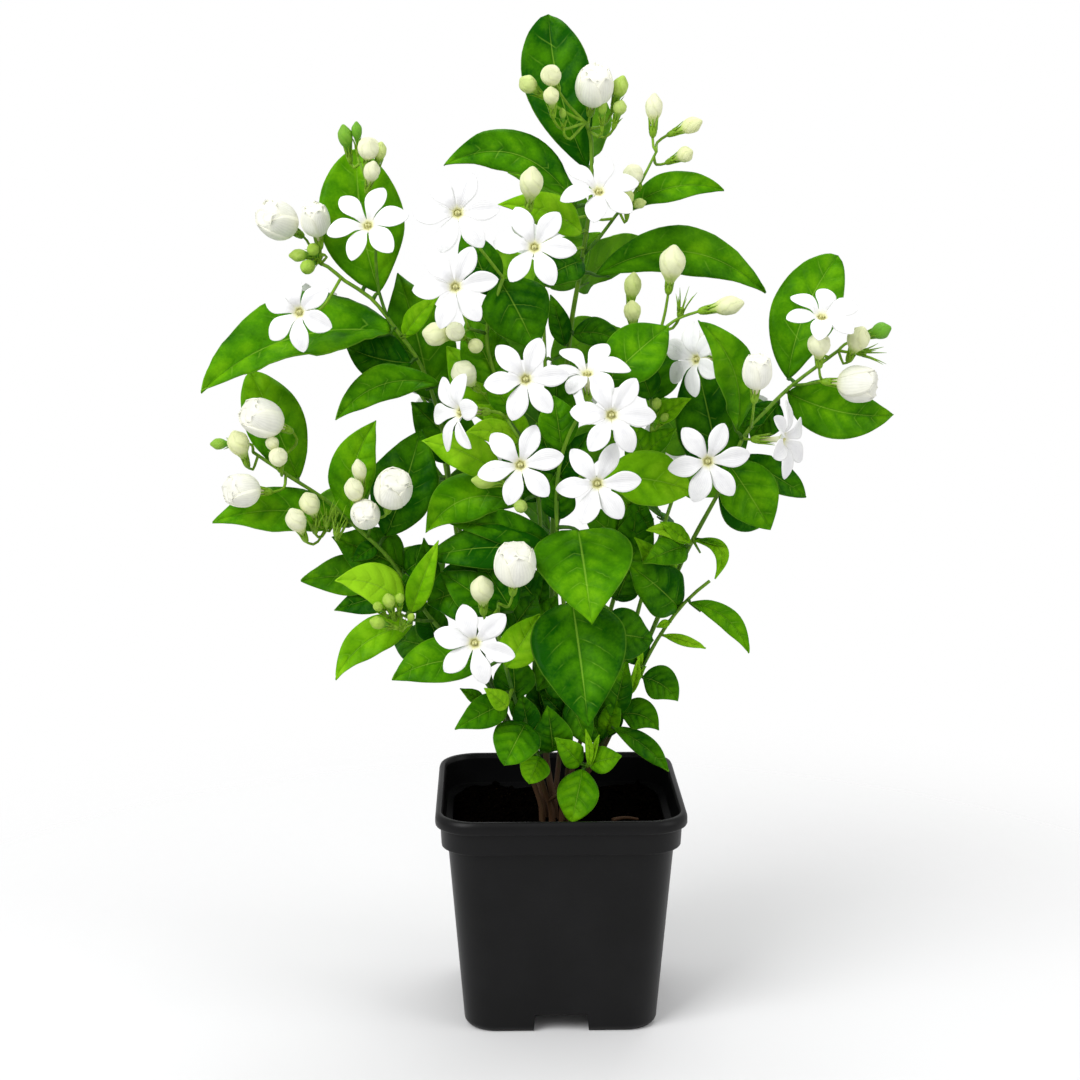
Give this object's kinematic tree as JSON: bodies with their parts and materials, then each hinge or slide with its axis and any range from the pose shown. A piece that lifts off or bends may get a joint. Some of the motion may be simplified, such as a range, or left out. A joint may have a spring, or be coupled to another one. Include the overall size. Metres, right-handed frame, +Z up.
{
  "type": "potted arabian jasmine",
  "caption": "Bushy Arabian jasmine with white flowers, buds and glossy green leaves, in a square black nursery pot.",
  "frame": {"origin": "on the surface that the pot stands on, in the middle of the pot's foot", "axes": "+Z up, +X to the right as seen from the front, and the front of the plant faces -Y"},
  "size_m": [0.2438, 0.142, 0.3606],
  "materials": {
    "plastic": "satin black moulded plastic",
    "peat": "crumbly near-black peat",
    "bark": "rough brown bark",
    "foliage": "glossy green leaf with pale veins",
    "petals": "soft white petal",
    "buds": "waxy cream bud, greener at its base"
  },
  "bodies": {
    "root": {"pot": "plastic", "soil": "peat", "soil_twig": "bark", "stem_crown": "foliage", "stem_left": "foliage", "stem_centre": "foliage", "stem_front": "foliage", "stem_left_low": "foliage", "stem_low": "foliage", "stem_right": "foliage", "stem_mid_right": "foliage", "stem_right_low": "foliage", "stem_back_left": "foliage", "stem_back": "foliage", "stem_back_right": "foliage", "flower_crown_left": "petals", "flower_crown_right": "petals", "flower_left_top": "petals", "flower_left_edge": "petals", "flower_centre_top": "petals", "flower_centre_left": "petals", "flower_centre": "petals", "flower_centre_side": "petals", "flower_centre_low": "petals", "flower_front_top": "petals", "flower_front_right": "petals", "flower_front_low": "petals", "flower_low": "petals", "flower_right": "petals", "flower_right_top": "petals", "flower_right_side": "petals", "flower_right_inner": "petals", "flower_back_left_edge": "petals", "flower_back_left": "petals", "flower_back_top": "petals", "flower_back": "petals", "flower_back_low": "petals", "flower_back_right_edge": "petals", "flower_back_right": "petals", "half_open_crown": "petals", "half_open_left_edge": "petals", "half_open_left_top": "petals", "half_open_low_edge": "petals", "half_open_left_low": "petals", "half_open_left_large": "petals", "half_open_left_small": "petals", "half_open_low": "petals", "half_open_right": "petals", "half_open_right_edge": "petals", "half_open_back_left": "petals", "half_open_back_right": "petals", "bud_crown_left": "buds", "bud_crown_right": "buds", "bud_centre": "buds", "bud_low": "buds", "bud_right": "buds", "bud_right_edge": "buds", "bud_top_right": "buds", "bud_right_inner": "buds"}
  },
  "joints": []
}
